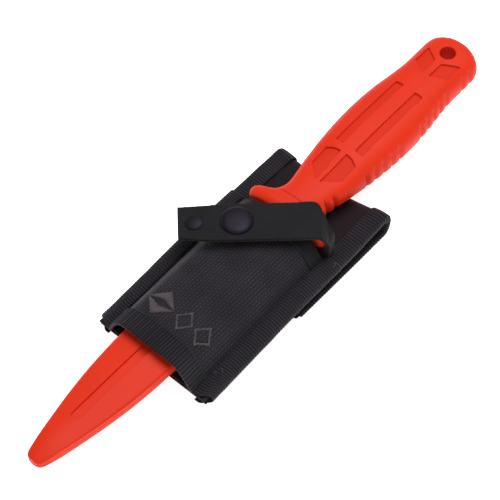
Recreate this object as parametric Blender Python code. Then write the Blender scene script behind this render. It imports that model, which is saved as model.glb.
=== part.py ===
"""Blunt-tipped rigging knife with its moulded scabbard and webbing belt carrier.

Lengths are stations in millimetres from the scabbard tip along the knife (x), to its left (y) and
up from the belt face (z). Solids are in metres, with the origin at the middle of the belt loop.
"""

import math

import bmesh
import bpy
from mathutils import Matrix, Vector

MM = 0.001
ORIGIN_X = 161.0
AXIS_Z = 18.7
GAP = 0.3

# Carrier
CARRIER = (71.5, 197.5)
HALF_WIDTH = 32.5
TAPE_LEG = 8.9
POUCH_LEG = 7.0
POUCH_TAPE = (71.5, 161.0)
TAPE = 0.6
FOLD_R = 4.7
STRIP_FRONT = 1.2
STRIP_REAR = 1.6
LINING_Z = (10.7, 11.3)
BOARD_Z = (9.7, 10.4)
POUCH = (71.6, 157.2)
POUCH_WALL = 1.1
DOME = ((24.4, 12.6), (22.6, 15.6), (20.6, 18.4), (18.2, 20.8), (15.4, 22.6), (10.5, 23.8), (5.0, 24.15),
        (0.0, 24.3))
FLANGE = (11.6, 12.5)
SAG = (5.5, 66.0, 150.0)
SAG_STEPS = (76.0, 82.0, 90.0, 100.0, 110.0, 120.0, 130.0, 140.0, 150.0)

# Scabbard: station, half width
SCABBARD = (
    (0.0, 1.6), (0.5, 3.1), (1.6, 4.1), (4.5, 5.1), (9.8, 6.3), (20.0, 8.4), (31.0, 10.5),
    (43.0, 12.3), (55.0, 13.5), (68.0, 14.15), (90.0, 14.2), (159.3, 14.2),
)
SCABBARD_HALF = 4.0
GROOVE = (24.5, 150.0, 2.35, 1.1)

# Knife: station, half width, half thickness
GUARD = (
    (160.1, 20.6, 5.0), (160.9, 22.0, 5.8), (162.4, 22.5, 6.2), (164.6, 22.5, 6.4), (166.0, 21.3, 6.6),
    (167.2, 18.4, 6.8), (168.3, 16.0, 7.0), (169.3, 14.3, 7.1),
)
GRIP = (
    (169.6, 14.0, 7.1), (171.5, 12.8, 7.1), (174.0, 11.9, 7.1), (177.0, 11.6, 7.1), (183.0, 12.5, 7.15),
    (190.0, 14.0, 7.3), (197.0, 15.0, 8.2), (203.0, 15.8, 9.2), (210.0, 16.5, 9.75), (220.0, 17.25, 10.0),
    (231.0, 17.45, 10.0), (243.0, 16.85, 9.9), (254.0, 15.5, 9.6), (264.0, 14.5, 9.3), (276.0, 14.6, 9.1),
    (282.5, 14.5, 8.9), (286.0, 13.3, 8.5), (288.2, 11.3, 8.0), (289.8, 8.6, 7.2), (290.7, 5.2, 6.0),
    (291.0, 2.6, 4.6),
)
BLADE = (
    (22.0, 3.2), (23.5, 4.6), (31.0, 6.4), (43.0, 8.2), (55.0, 9.3), (68.0, 9.8), (150.0, 9.8), (159.4, 9.8),
)
TANG = (159.9, 255.0, 5.0)
HOLE = (279.7, 3.9)
NOTCHES = (177, 182, 201, 206.5, 212, 217.5, 223, 239, 244.5, 250, 255.5, 261, 273.6, 279.2)

# Strap: middle of its flat run, direction away from the root, direction across
STRAP_MID = (154.4, -4.8)
STRAP_DIR = (-0.69, 0.724)
STRAP_ACROSS = (0.724, 0.69)
STRAP_THICK = 1.5
SHOULDER = 14.5
STRAP_RUN = (
    (0.0, 27.2, -10.0, 10.0), (10.0, 27.4, -10.0, 10.0), (20.0, 27.7, -10.0, 10.0), (30.0, 27.9, -10.0, 10.0),
    (42.0, 27.9, -9.8, 10.0), (49.0, 27.2, -9.0, 10.0), (60.0, 25.9, -7.0, 10.6), (61.8, 25.7, -6.6, 10.7),
)
CAP_RUN = (35.5, 0.4)
RIVET_RUN = (54.5, 1.2)
RISER_NEAR = (
    (157.5, -22.5, 27.2), (158.9, -23.5, 26.6), (160.1, -23.8, 24.6), (160.8, -23.6, 21.5),
    (161.0, -23.4, 17.5), (160.8, -23.3, 13.7),
)
RISER_FAR = (
    (171.9, -8.7, 27.2), (171.4, -12.6, 27.2), (170.3, -17.2, 26.9), (168.9, -22.4, 25.6),
    (168.0, -23.4, 19.5), (167.5, -23.3, 13.7),
)

# A point on each joint's axis
LEAN = 0.03
LEAN_AT = (165.0, 0.0, AXIS_Z)
PIVOTS = {
    "scabbard_slide": (0.0, 0.0, AXIS_Z - 165.0 * LEAN),
    "knife_draw": (160.0, 0.0, AXIS_Z - 5.0 * LEAN),
    "strap_root": (164.2, -24.1, 14.4),
    "strap_fold": (164.405, -15.298, 28.7),
}

ORANGE = (0.80, 0.07, 0.03)
BLACK = (0.02, 0.02, 0.023)
GUNMETAL = (0.07, 0.07, 0.08)
STEEL = (0.60, 0.60, 0.62)


def at(x, y, z):
    """A point in metres from millimetre stations."""
    return Vector(((x - ORIGIN_X) * MM, y * MM, z * MM))


def add(name, bm, colour, roughness=0.6, metallic=0.0, smooth=False):
    """Turn a bmesh into a named object with its own material."""
    bmesh.ops.recalc_face_normals(bm, faces=bm.faces)
    mesh = bpy.data.meshes.new(name)
    bm.to_mesh(mesh)
    bm.free()
    obj = bpy.data.objects.new(name, mesh)
    bpy.context.collection.objects.link(obj)
    material = bpy.data.materials.new(name)
    material.use_nodes = True
    shader = material.node_tree.nodes["Principled BSDF"]
    shader.inputs["Base Color"].default_value = (*colour, 1.0)
    shader.inputs["Roughness"].default_value = roughness
    shader.inputs["Metallic"].default_value = metallic
    mesh.materials.append(material)
    if smooth:
        mesh.shade_smooth()
    return obj


def loft(rings):
    """Closed solid swept through rings that have the same number of points."""
    bm = bmesh.new()
    face = bm.faces.new([bm.verts.new(point) for point in rings[0]])
    for index, ring in enumerate(rings[1:]):
        out = bmesh.ops.extrude_face_region(bm, geom=[face])
        if index:
            bmesh.ops.delete(bm, geom=[face], context="FACES_ONLY")
        face = next(item for item in out["geom"] if isinstance(item, bmesh.types.BMFace))
        for vert, point in zip(face.verts, ring):
            vert.co = point
    return bm


def cut(target, bm):
    """Subtract a bmesh from an object."""
    cutter = add("cutter", bm, BLACK)
    cutter.hide_render = True
    cutter.display_type = "WIRE"
    modifier = target.modifiers.new("cut", "BOOLEAN")
    modifier.operation = "DIFFERENCE"
    modifier.solver = "EXACT"
    modifier.object = cutter
    bpy.context.view_layer.objects.active = target
    bpy.ops.object.modifier_apply(modifier=modifier.name)
    bpy.data.objects.remove(cutter)


def box(x0, x1, y0, y1, z0, z1):
    """Box between two corners."""
    corners = ((y0, z0), (y1, z0), (y1, z1), (y0, z1))
    return loft([[at(x, y, z) for y, z in corners] for x in (x0, x1)])


def prism(outline, z0, z1):
    """Upright prism on an (x, y) outline."""
    return loft([[at(x, y, z) for x, y in outline] for z in (z0, z1)])


def disc(x, y, z, profile, segments=28, tilt=0.0):
    """Turned solid from (radius, height) points, tilted about the strap's width."""
    rings = []
    lean = Matrix.Rotation(tilt, 4, Vector((*STRAP_ACROSS, 0.0)))
    for radius, height in profile:
        ring = []
        for step in range(segments):
            angle = 2.0 * math.pi * step / segments
            point = Vector((radius * math.cos(angle), radius * math.sin(angle), height))
            ring.append(at(x, y, z) + lean @ point * MM)
        rings.append(ring)
    return loft(rings)


def oval(x, half_width, half_height, count=28, power=2.6):
    """Rounded cross-section of the knife at one station."""
    ring = []
    for step in range(count):
        angle = 2.0 * math.pi * (step + 0.5) / count
        side = math.cos(angle)
        rise = math.sin(angle)
        y = half_width * math.copysign(abs(side) ** (2.0 / power), side)
        z = half_height * math.copysign(abs(rise) ** (2.0 / power), rise)
        ring.append(at(x, y, AXIS_Z + z))
    return ring


def build_knife():
    """Blade, guard, core and moulded grip."""
    rings = []
    for x, half in BLADE:
        flat = max(half - 4.0, half * 0.35)
        rings.append([at(x, y, AXIS_Z + z) for y, z in (
            (half, 0.0), (flat, 1.5), (-flat, 1.5), (-half, 0.0), (-flat, -1.5), (flat, -1.5))])
    for x in TANG[:2]:
        half = TANG[2]
        rings.append([at(x, y, AXIS_Z + z) for y, z in (
            (half, 0.0), (half, 1.5), (-half, 1.5), (-half, 0.0), (-half, -1.5), (half, -1.5))])
    add("blade", loft(rings), STEEL, 0.3, 1.0)

    guard = add("guard", loft([oval(*row) for row in GUARD]), ORANGE, 0.5, smooth=True)
    slot = TANG[2] + GAP
    cut(guard, box(158.0, 171.0, -slot, slot, AXIS_Z - 1.8, AXIS_Z + 1.8))

    core = add("handle_core", box(169.9, 264.0, -8.0, 8.0, AXIS_Z - 3.4, AXIS_Z + 3.4), BLACK)
    cut(core, box(168.0, 255.3, -slot, slot, AXIS_Z - 1.8, AXIS_Z + 1.8))

    grip = add("grip", loft([oval(*row) for row in GRIP]), ORANGE, 0.5, smooth=True)
    cut(grip, box(168.0, 264.3, -8.3, 8.3, AXIS_Z - 3.7, AXIS_Z + 3.7))
    hole = [(HOLE[0] + HOLE[1] * math.cos(a), HOLE[1] * math.sin(a))
            for a in (math.tau * k / 20 for k in range(20))]
    cut(grip, prism(hole, 5.0, 33.0))
    for side in (-1, 1):
        cut(grip, prism([(205.8, 3.6 * side), (250.5, 3.6 * side), (250.5, 7.8 * side), (205.8, 7.8 * side)],
                        AXIS_Z + 8.5, 33.0))
        cut(grip, prism([(183.2, 1.7 * side), (189.5, 8.7 * side), (197.5, 8.7 * side), (201.3, 5.0 * side),
                         (201.3, 1.7 * side)], AXIS_Z + 6.2, 33.0))
        cut(grip, prism([(262.5, 2.0 * side), (267.4, 9.7 * side), (276.0, 9.3 * side), (272.0, 2.0 * side)],
                        AXIS_Z + 7.9, 33.0))
    for x in NOTCHES:
        half = next(row[1] for row in GRIP if row[0] >= x)
        wedge = [(x - 1.0, -half - 1.5), (x + 1.0, -half - 1.5), (x, -half + 1.2)]
        cut(grip, prism(wedge, 10.0, AXIS_Z + 4.5))


def build_scabbard():
    """Two welded shells round the blade, with a roof ridge and a groove in front."""
    front = []
    back = []
    for x, half in SCABBARD:
        drop = 1.6 * max(0.0, 1.0 - x / 12.0) ** 2
        low = AXIS_Z + GAP / 2
        front.append([at(x, y, z) for y, z in (
            (-half, low), (half, low), (half, AXIS_Z + 2.1 - drop * 0.5),
            (0.86 * half, AXIS_Z + 3.0 - drop), (0.0, AXIS_Z + SCABBARD_HALF - drop),
            (-0.86 * half, AXIS_Z + 3.0 - drop), (-half, AXIS_Z + 2.1 - drop * 0.5))])
        high = AXIS_Z - GAP / 2
        back.append([at(x, y, z) for y, z in (
            (half, high), (-half, high), (-half, AXIS_Z - 2.9 + drop),
            (-0.88 * half, AXIS_Z - SCABBARD_HALF + drop), (0.88 * half, AXIS_Z - SCABBARD_HALF + drop),
            (half, AXIS_Z - 2.9 + drop))])
    front = add("scabbard_front_shell", loft(front), ORANGE, 0.5)
    back = add("scabbard_back_shell", loft(back), ORANGE, 0.5)
    inner = [(x - (1.5 if x < 23 else 0.0), half + 0.7) for x, half in BLADE[:-1]] + [(161.0, 10.5)]
    outline = [(x, y) for x, y in inner] + [(x, -y) for x, y in reversed(inner)]
    for shell in (front, back):
        cut(shell, prism(outline, AXIS_Z - 1.9, AXIS_Z + 1.9))
    x0, x1, half, depth = GROOVE
    angles = [math.pi * k / 10 for k in range(11)]
    arc = [(x0 + half - half * math.sin(a), half * math.cos(a)) for a in angles]
    cut(front, prism([(x1, half), *arc, (x1, -half)], AXIS_Z + SCABBARD_HALF - depth, 30.0))


def sag(x):
    """How far the front layers hang below level at a station."""
    depth, low, high = SAG
    share = min(max((x - low) / (high - low), 0.0), 1.0)
    return depth * (1.0 - share * share * (3.0 - 2.0 * share))


def carrier_path(front_end, rear_end):
    """Outer line of the folded strip from its front lower end over the top and down the back.

    Each entry is position, outward direction, share of the way round the fold.
    """
    centre = CARRIER[1] - FOLD_R - 0.9
    top = 2.0 * FOLD_R
    front = [front_end] + [x for x in (*SAG_STEPS, 176.5, 186.5, 190.5) if x > front_end]
    path = [((x, top - sag(x)), (0.0, 1.0), 0.0) for x in front]
    for step in range(9):
        angle = math.pi * (0.5 - step / 8.0)
        out = (math.cos(angle), math.sin(angle))
        path.append(((centre + FOLD_R * out[0], FOLD_R + FOLD_R * out[1]), out, step / 8.0))
    path += [((x, 0.0), (0.0, -1.0), 1.0) for x in (184.0, rear_end)]
    return path


def path_ring(entry, section):
    """Ring at one path entry from (y, depth below the outer line) points."""
    (x, z), out, _ = entry
    return [at(x - out[0] * depth, y, z - out[1] * depth) for y, depth in section]


def tape_offset(entry):
    """Height of the edge tape's outer face above the strip's outer line."""
    (x, _), _, share = entry
    if share > 0.0:
        return max(0.0, 1.8 * (1.0 - 2.0 * share), 0.9 * (1.0 - share))
    return 2.8 if x < 180.0 else 1.8


def build_carrier():
    """Folded backing strip, board, lining, pad, pouch and its tapes."""
    rings = []
    for entry in carrier_path(72.3, 133.0):
        share = entry[2]
        deep = STRIP_FRONT + (STRIP_REAR - STRIP_FRONT) * share
        edge = 0.9 * share
        rings.append(path_ring(entry, [
            (-31.5, edge), (-23.2, edge), (-23.2, 0.0), (23.2, 0.0), (23.2, edge), (31.5, edge),
            (31.5, deep), (-31.5, deep)]))
    for x, edge in ((129.5, 23.3), (125.0, 22.9), (78.0, 22.9)):
        rings.append([at(x, y, z) for y, z in (
            (-edge, 0.9), (0.1 - edge, 0.8), (0.2 - edge, 0.0), (edge - 0.2, 0.0), (edge - 0.1, 0.8),
            (edge, 0.9), (edge, 1.6), (-edge, 1.6))])
    add("backing_strip", loft(rings), BLACK, 0.9)

    for name, side in (("left_binding", 1), ("right_binding", -1)):
        rings = []
        for entry in carrier_path(POUCH_TAPE[1] + GAP, 135.0):
            high = tape_offset(entry)
            low = STRIP_FRONT + (STRIP_REAR - STRIP_FRONT) * entry[2] + GAP
            inner = HALF_WIDTH - TAPE_LEG
            web = HALF_WIDTH - TAPE
            rings.append(path_ring(entry, [(y * side, depth) for y, depth in (
                (inner, -high), (HALF_WIDTH, -high), (HALF_WIDTH, low + TAPE), (inner, low + TAPE),
                (inner, low), (web, low), (web, TAPE - high), (inner, TAPE - high))]))
        add(name, loft(rings), BLACK, 0.9)

    inner = HALF_WIDTH - POUCH_LEG
    web = HALF_WIDTH - TAPE
    low = 2.0 * FOLD_R - STRIP_FRONT - GAP
    high = FLANGE[1] + GAP
    for name, side in (("left_pouch_binding", 1), ("right_pouch_binding", -1)):
        rings = [[at(x, y * side, z - sag(x)) for y, z in (
            (inner, high + TAPE), (HALF_WIDTH, high + TAPE), (HALF_WIDTH, low - TAPE), (inner, low - TAPE),
            (inner, low), (web, low), (web, high), (inner, high))]
            for x in (POUCH_TAPE[0], *SAG_STEPS, POUCH_TAPE[1])]
        add(name, loft(rings), BLACK, 0.9)

    def layer(name, ends, half, bottom, top, roughness):
        """Flat layer of the front that follows its sag."""
        stations = [ends[0]] + [x for x in SAG_STEPS if ends[0] < x < ends[1]] + [ends[1]]
        add(name, loft([[at(x, y, z) for y, z in (
            (-half, bottom - sag(x)), (half, bottom - sag(x)), (half, top(x)), (-half, top(x)))]
            for x in stations]), BLACK, roughness)

    layer("stiffener_board", (75.0, 174.0), 21.0, BOARD_Z[0], lambda x: BOARD_Z[1] - sag(x), 0.7)
    layer("foam_pad", (76.0, 155.0), 16.0, 11.6, lambda x: 14.4 - LEAN * (LEAN_AT[0] - x), 0.95)
    rings = [[at(x, y, z - drop) for y, z in (
        (-31.5, LINING_Z[0]), (31.5, LINING_Z[0]), (31.5, LINING_Z[1]), (-31.5, LINING_Z[1]))]
        for x, drop in ((72.5, sag(72.5)), *((x, sag(x)) for x in SAG_STEPS), (176.5, 0.0), (186.0, 1.0),
                        (190.0, 1.0))]
    add("lining", loft(rings), BLACK, 0.5)

    outer = [(y, z) for y, z in DOME] + [(-y, z) for y, z in reversed(DOME[:-1])]
    shape = []
    for k, (y, z) in enumerate(outer):
        before = outer[max(k - 1, 0)]
        after = outer[min(k + 1, len(outer) - 1)]
        along = Vector((after[0] - before[0], after[1] - before[1])).normalized()
        shape.append((Vector((y, z)), Vector((along.y, -along.x))))

    def hang(x, y, z):
        """Point of the arch at a station, stretched down to where its feet hang."""
        share = min(max((DOME[-1][1] - z) / (DOME[-1][1] - DOME[0][1]), 0.0), 1.0)
        return at(x, y, z - sag(x) * share ** 1.8)

    def shell(x):
        """Arch-shaped ring with a flange at each foot."""
        upper = [(31.5, FLANGE[1])] + [(point.x, point.y) for point, _ in shape] + [(-31.5, FLANGE[1])]
        under = [(-31.5, FLANGE[0])]
        inner = [point - normal * POUCH_WALL for point, normal in reversed(shape)]
        under += [(v.x, max(v.y, FLANGE[0])) for v in inner]
        under += [(31.5, FLANGE[0])]
        return [hang(x, y, z) for y, z in upper + under]

    add("pouch_front", loft([shell(x) for x in (POUCH[0], *SAG_STEPS, POUCH[1])]), BLACK, 0.9, smooth=False)
    for name, (near, far) in (("mouth_binding", (150.6, 158.1)), ("bottom_hem", (79.8, 70.7))):
        turn = 1.0 if far > near else -1.0
        rings = []
        for point, normal in shape:
            ring = []
            for x, off in ((near, 0.2), (near, 0.7), (far, 0.7), (far, -1.0), (far - turn * 0.6, -1.0),
                           (far - turn * 0.6, 0.2)):
                spot = point + normal * off
                ring.append(hang(x, spot.x, max(spot.y, FLANGE[1] + GAP)))
            rings.append(ring)
        add(name, loft(rings), BLACK, 0.9)


def ribbon(near, far, thick):
    """Flat band between two edge lines, thickened to its upper side."""
    rings = []
    for k, (a, b) in enumerate(zip(near, far)):
        low, high = max(k - 1, 0), min(k + 1, len(near) - 1)
        along = (near[high] + far[high]) - (near[low] + far[low])
        up = (b - a).cross(along).normalized() * thick * MM
        rings.append([a, b, b + up, a + up])
    return loft(rings)


def run_point(run, across, z):
    """Point on the strap by distance from the shoulder and offset across it."""
    distance = run - SHOULDER
    return at(STRAP_MID[0] + STRAP_DIR[0] * distance + STRAP_ACROSS[0] * across,
              STRAP_MID[1] + STRAP_DIR[1] * distance + STRAP_ACROSS[1] * across, z)


def build_strap():
    """Riser, flat run, press stud and rivet."""
    near = [run_point(run, a, z) for run, z, a, _ in STRAP_RUN]
    far = [run_point(run, b, z) for run, z, _, b in STRAP_RUN]
    top = add("strap_top", ribbon(near, far, STRAP_THICK), BLACK, 0.9)
    riser = ribbon([at(*p) for p in RISER_FAR], [at(*p) for p in RISER_NEAR], STRAP_THICK)
    add("strap_riser", riser, BLACK, 0.9)

    cap = run_point(*CAP_RUN, 27.9) / MM
    x, y, z = cap.x + ORIGIN_X, cap.y, cap.z
    cut(top, disc(x, y, z, ((1.7, -2.0), (1.7, 4.0)), 16))
    add("snap_cap", disc(x, y, z, ((1.4, 0.1), (1.4, 1.8), (7.2, 1.8), (7.5, 2.1), (7.5, 2.5), (6.9, 3.1),
                                   (4.5, 3.5), (1.2, 3.65)), 32), GUNMETAL, 0.4, 1.0, True)
    socket = add("snap_socket", disc(x, y, z, ((5.4, -0.9), (5.4, -0.3))), GUNMETAL, 0.4, 1.0)
    cut(socket, disc(x, y, z, ((2.7, -2.0), (2.7, 1.0)), 20))
    stud = disc(x, y, z, ((4.6, -2.9), (4.6, -2.55), (2.2, -2.3), (2.0, -0.35)), 24)
    add("snap_stud", stud, STEEL, 0.35, 1.0)
    add("stud_eyelet", disc(x, y, z, ((2.9, -3.5), (2.9, -3.1))), STEEL, 0.35, 1.0)

    slope = math.atan2(25.9 - 27.2, 11.0)
    share = (RIVET_RUN[0] - 49.0) / 11.0
    spot = run_point(*RIVET_RUN, 27.2 - 1.3 * share) / MM
    x, y, z = spot.x + ORIGIN_X, spot.y, spot.z
    cut(top, disc(x, y, z, ((1.5, -3.0), (1.5, 5.0)), 16, slope))
    outline = ((1.2, -0.1), (1.2, 1.8), (4.2, 1.8), (4.2, 2.1), (3.3, 2.6), (1.0, 2.8))
    add("rivet_cap", disc(x, y, z, outline, 24, slope), GUNMETAL, 0.4, 1.0, True)
    add("rivet_back", disc(x, y, z, ((4.2, -0.8), (4.2, -0.35)), 24, slope), GUNMETAL, 0.4, 1.0)


def lean(pieces):
    """Tip the knife and its scabbard down towards the scabbard's point."""
    middle = at(*LEAN_AT)
    turn = Matrix.Rotation(-math.asin(LEAN), 4, "Y")
    for piece in pieces:
        mesh = bpy.data.objects[piece].data
        mesh.transform(Matrix.Translation(middle) @ turn @ Matrix.Translation(-middle))


def pivot(name, spot, parent, pieces):
    """Parent the pieces of a moving body to an empty on its joint's axis."""
    empty = bpy.data.objects.new(name, None)
    bpy.context.collection.objects.link(empty)
    place = at(*spot)
    if parent:
        empty.parent = parent
        place = place - at(*PIVOTS[parent.name])
    empty.location = place
    for piece in pieces:
        obj = bpy.data.objects[piece]
        obj.parent = empty
        obj.matrix_parent_inverse = Matrix.Translation(-at(*spot))
    return empty


def main():
    """Build every piece."""
    for obj in list(bpy.data.objects):
        bpy.data.objects.remove(obj)
    build_carrier()
    build_scabbard()
    build_knife()
    build_strap()
    shells = ("scabbard_front_shell", "scabbard_back_shell")
    knife = ("blade", "guard", "handle_core", "grip")
    lean(shells + knife)
    slide = pivot("scabbard_slide", PIVOTS["scabbard_slide"], None, shells)
    pivot("knife_draw", PIVOTS["knife_draw"], slide, knife)
    root = pivot("strap_root", PIVOTS["strap_root"], None, ("strap_riser",))
    pivot("strap_fold", PIVOTS["strap_fold"], root,
          ("strap_top", "snap_cap", "snap_socket", "rivet_cap", "rivet_back"))


if __name__ == "__main__":
    main()
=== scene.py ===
"""Looks of an orange rigging knife in its scabbard and black webbing belt carrier.

Stations are millimetres: x from the scabbard's tip to the handle's butt, y to the knife's left and
z up from the face that lies on the belt. Meshes are in metres in the model's own frame.
"""

from __future__ import annotations

import logging
import math
from collections.abc import Callable, Sequence
from dataclasses import dataclass
from enum import Enum

import bmesh
import bpy
from mathutils import Matrix, Vector, noise


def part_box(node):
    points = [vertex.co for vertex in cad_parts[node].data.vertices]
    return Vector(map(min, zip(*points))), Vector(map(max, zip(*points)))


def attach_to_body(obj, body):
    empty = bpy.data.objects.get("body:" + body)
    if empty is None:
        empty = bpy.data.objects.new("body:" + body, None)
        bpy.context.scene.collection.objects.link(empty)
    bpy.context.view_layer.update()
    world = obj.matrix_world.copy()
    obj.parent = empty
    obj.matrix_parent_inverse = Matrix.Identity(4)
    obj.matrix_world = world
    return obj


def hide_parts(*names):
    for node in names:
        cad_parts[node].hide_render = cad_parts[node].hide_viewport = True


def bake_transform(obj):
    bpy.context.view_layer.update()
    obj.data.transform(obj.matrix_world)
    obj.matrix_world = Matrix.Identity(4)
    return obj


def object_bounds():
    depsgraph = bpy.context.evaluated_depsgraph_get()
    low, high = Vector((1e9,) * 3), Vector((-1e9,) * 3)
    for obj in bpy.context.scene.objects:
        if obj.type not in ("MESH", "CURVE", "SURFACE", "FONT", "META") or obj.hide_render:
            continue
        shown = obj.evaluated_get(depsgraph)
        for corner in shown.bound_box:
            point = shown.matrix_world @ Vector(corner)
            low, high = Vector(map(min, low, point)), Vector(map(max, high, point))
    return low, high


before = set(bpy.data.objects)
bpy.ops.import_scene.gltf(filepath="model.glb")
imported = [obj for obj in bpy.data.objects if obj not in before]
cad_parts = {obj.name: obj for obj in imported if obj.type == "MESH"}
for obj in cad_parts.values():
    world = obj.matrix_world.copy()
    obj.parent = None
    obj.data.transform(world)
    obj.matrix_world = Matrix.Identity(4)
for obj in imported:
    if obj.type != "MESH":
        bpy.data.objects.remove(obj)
CAD_LOW, CAD_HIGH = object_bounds()

MM = 0.001
TIP_X = CAD_LOW.x
AXIS_Z = 18.7
LEAN = 0.03
LEAN_X = 165.0
RIB_MM = 1.43
NYLON_IOR = 1.53
WHITE = (1.0, 1.0, 1.0, 1.0)
UP = Vector((0, 0, 1))

log = logging.getLogger("rigging_knife")

Point = tuple[float, float]
Row = tuple[float, ...]


def at(x: float, y: float, z: float) -> Vector:
    """Point in metres in the model's frame from millimetre stations."""
    return Vector((TIP_X + x * MM, y * MM, z * MM))


def linear(code: str) -> tuple[float, float, float, float]:
    """Turn an sRGB hex colour into linear light.

    Args:
        code: Colour such as "#e6452c".

    Returns:
        Linear red, green, blue and an alpha of one.
    """
    parts = [int(code[k:k + 2], 16) / 255 for k in (1, 3, 5)]
    light = [c / 12.92 if c <= 0.04045 else ((c + 0.055) / 1.055) ** 2.4 for c in parts]
    return (light[0], light[1], light[2], 1.0)


def smoothstep(low: float, high: float, value: float) -> float:
    """Ease from 0 at low to 1 at high."""
    share = min(max((value - low) / (high - low), 0.0), 1.0)
    return share * share * (3 - 2 * share)


def spline(rows: Sequence[Row], steps: int) -> list[Row]:
    """Smooth a table of rows into evenly spaced rows.

    Args:
        rows: Rows of equal length that the curve passes through.
        steps: Number of spans in the result.

    Returns:
        steps + 1 rows, equally far apart along the curve.
    """
    fine: list[Row] = []
    for k in range(len(rows) - 1):
        a, b, c, d = (rows[min(max(k + i, 0), len(rows) - 1)] for i in (-1, 0, 1, 2))
        for i in range(24):
            t = i / 24
            fine.append(tuple(
                0.5 * (2 * q + (r - p) * t + (2 * p - 5 * q + 4 * r - s) * t * t
                       + (3 * q - p - 3 * r + s) * t ** 3)
                for p, q, r, s in zip(a, b, c, d)))
    fine.append(tuple(rows[-1]))
    return resample(fine, steps)


def resample(rows: Sequence[Row], steps: int) -> list[Row]:
    """Evenly spaced rows along a chain of rows.

    Args:
        rows: Rows joined by straight spans.
        steps: Number of spans in the result.

    Returns:
        steps + 1 rows.
    """
    reach = [0.0]
    for a, b in zip(rows, rows[1:]):
        reach.append(reach[-1] + math.dist(a, b))
    made: list[Row] = []
    k = 0
    for step in range(steps + 1):
        want = reach[-1] * step / steps
        while k < len(rows) - 2 and reach[k + 1] < want:
            k += 1
        span = reach[k + 1] - reach[k]
        share = (want - reach[k]) / span if span else 0.0
        made.append(tuple(p + (q - p) * share for p, q in zip(rows[k], rows[k + 1])))
    return made


def steps_of(low: float, high: float, step: float) -> list[float]:
    """Evenly spaced values from low to at most high."""
    return [low + step * k for k in range(int((high - low) / step) + 1)]


def length_of(rows: Sequence[Row]) -> float:
    """Length along a chain of rows."""
    return sum(math.dist(a, b) for a, b in zip(rows, rows[1:]))


def pick(rows: Sequence[Row], share: float) -> Row:
    """Row nearest to a share of the way through evenly spaced rows."""
    last = len(rows) - 1
    return rows[min(round(share * last), last)]


def squared(value: float, power: float) -> float:
    """Sine or cosine raised to a power with its sign kept, which squares off a round section."""
    return math.copysign(abs(value) ** power, value)


def fillet(points: Sequence[Point], radius: float, steps: int = 6) -> list[Point]:
    """Round the corners of a flat chain.

    Args:
        points: Corners in order.
        radius: Largest distance from a corner at which its rounding starts.
        steps: Spans in each rounded corner.

    Returns:
        The chain with its corners rounded.
    """
    made = [tuple(points[0])]
    for before, corner, after in zip(points, points[1:], points[2:]):
        here = Vector(corner)
        back = Vector(before) - here
        ahead = Vector(after) - here
        cut = min(radius, back.length / 2, ahead.length / 2)
        start = here + back.normalized() * cut
        end = here + ahead.normalized() * cut
        for step in range(steps + 1):
            t = step / steps
            made.append(tuple(start * (1 - t) ** 2 + here * 2 * t * (1 - t) + end * t * t))
    made.append(tuple(points[-1]))
    return made


def feed(tree: bpy.types.NodeTree, node: bpy.types.Node, inputs: dict[object, object]) -> None:
    """Set or link a node's inputs.

    Args:
        tree: Node tree that holds the node.
        node: Node that gets them.
        inputs: Constant or output socket for each named or numbered input.
    """
    for key, value in inputs.items():
        if isinstance(value, bpy.types.NodeSocket):
            tree.links.new(value, node.inputs[key])
        else:
            node.inputs[key].default_value = value


def add_node(
    tree: bpy.types.NodeTree, kind: str, settings: dict[str, object] | None = None,
    inputs: dict[object, object] | None = None,
) -> bpy.types.Node:
    """Add a shader node.

    Args:
        tree: Node tree that gets it.
        kind: Node's class name.
        settings: Values of its properties.
        inputs: Constant or output socket for each named or numbered input.

    Returns:
        The new node.
    """
    made = tree.nodes.new(kind)
    for key, value in (settings or {}).items():
        setattr(made, key, value)
    feed(tree, made, inputs or {})
    return made


def shader_of(name: str) -> tuple[bpy.types.Material, bpy.types.NodeTree, bpy.types.Node]:
    """New material with its node tree and its Principled shader."""
    material = bpy.data.materials.new(name)
    material.use_nodes = True
    tree = material.node_tree
    return material, tree, tree.nodes["Principled BSDF"]


@dataclass(frozen=True)
class MouldedPlastic:
    """Injection-moulded glass-filled nylon with a spark-eroded grain, so it is matte with soft gloss."""

    name: str
    colour: str
    deep: str
    roughness: float = 0.5
    grain_mm: float = 0.5

    def material(self) -> bpy.types.Material:
        """Build the node material."""
        material, tree, shader = shader_of(self.name)
        place = add_node(tree, "ShaderNodeTexCoord").outputs["Object"]
        # Grain is finer than shows, so it is drawn at half a millimetre.
        grain = add_node(tree, "ShaderNodeTexNoise", None, {
            "Vector": place, "Scale": 1 / (self.grain_mm * MM), "Detail": 3.0, "Roughness": 0.6})
        flow = add_node(tree, "ShaderNodeTexNoise", None, {"Vector": place, "Scale": 45.0, "Detail": 2.0})
        shade = add_node(tree, "ShaderNodeMix", {"data_type": "RGBA"}, {
            0: flow.outputs["Fac"], 6: linear(self.colour), 7: linear(self.deep)})
        bump = add_node(tree, "ShaderNodeBump", None, {
            "Strength": 0.16, "Distance": 0.06 * MM, "Height": grain.outputs["Fac"]})
        gloss = add_node(tree, "ShaderNodeMapRange", None, {
            "Value": grain.outputs["Fac"], "To Min": self.roughness - 0.06, "To Max": self.roughness + 0.06})
        feed(tree, shader, {
            "Base Color": shade.outputs[2], "Roughness": gloss.outputs["Result"],
            "Normal": bump.outputs["Normal"], "IOR": NYLON_IOR, "Specular IOR Level": 0.16})
        return material


class Weave(Enum):
    """How a nylon cloth is woven."""

    BASKET = "basket"
    RIB = "rib"
    PLAIN = "plain"


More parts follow.
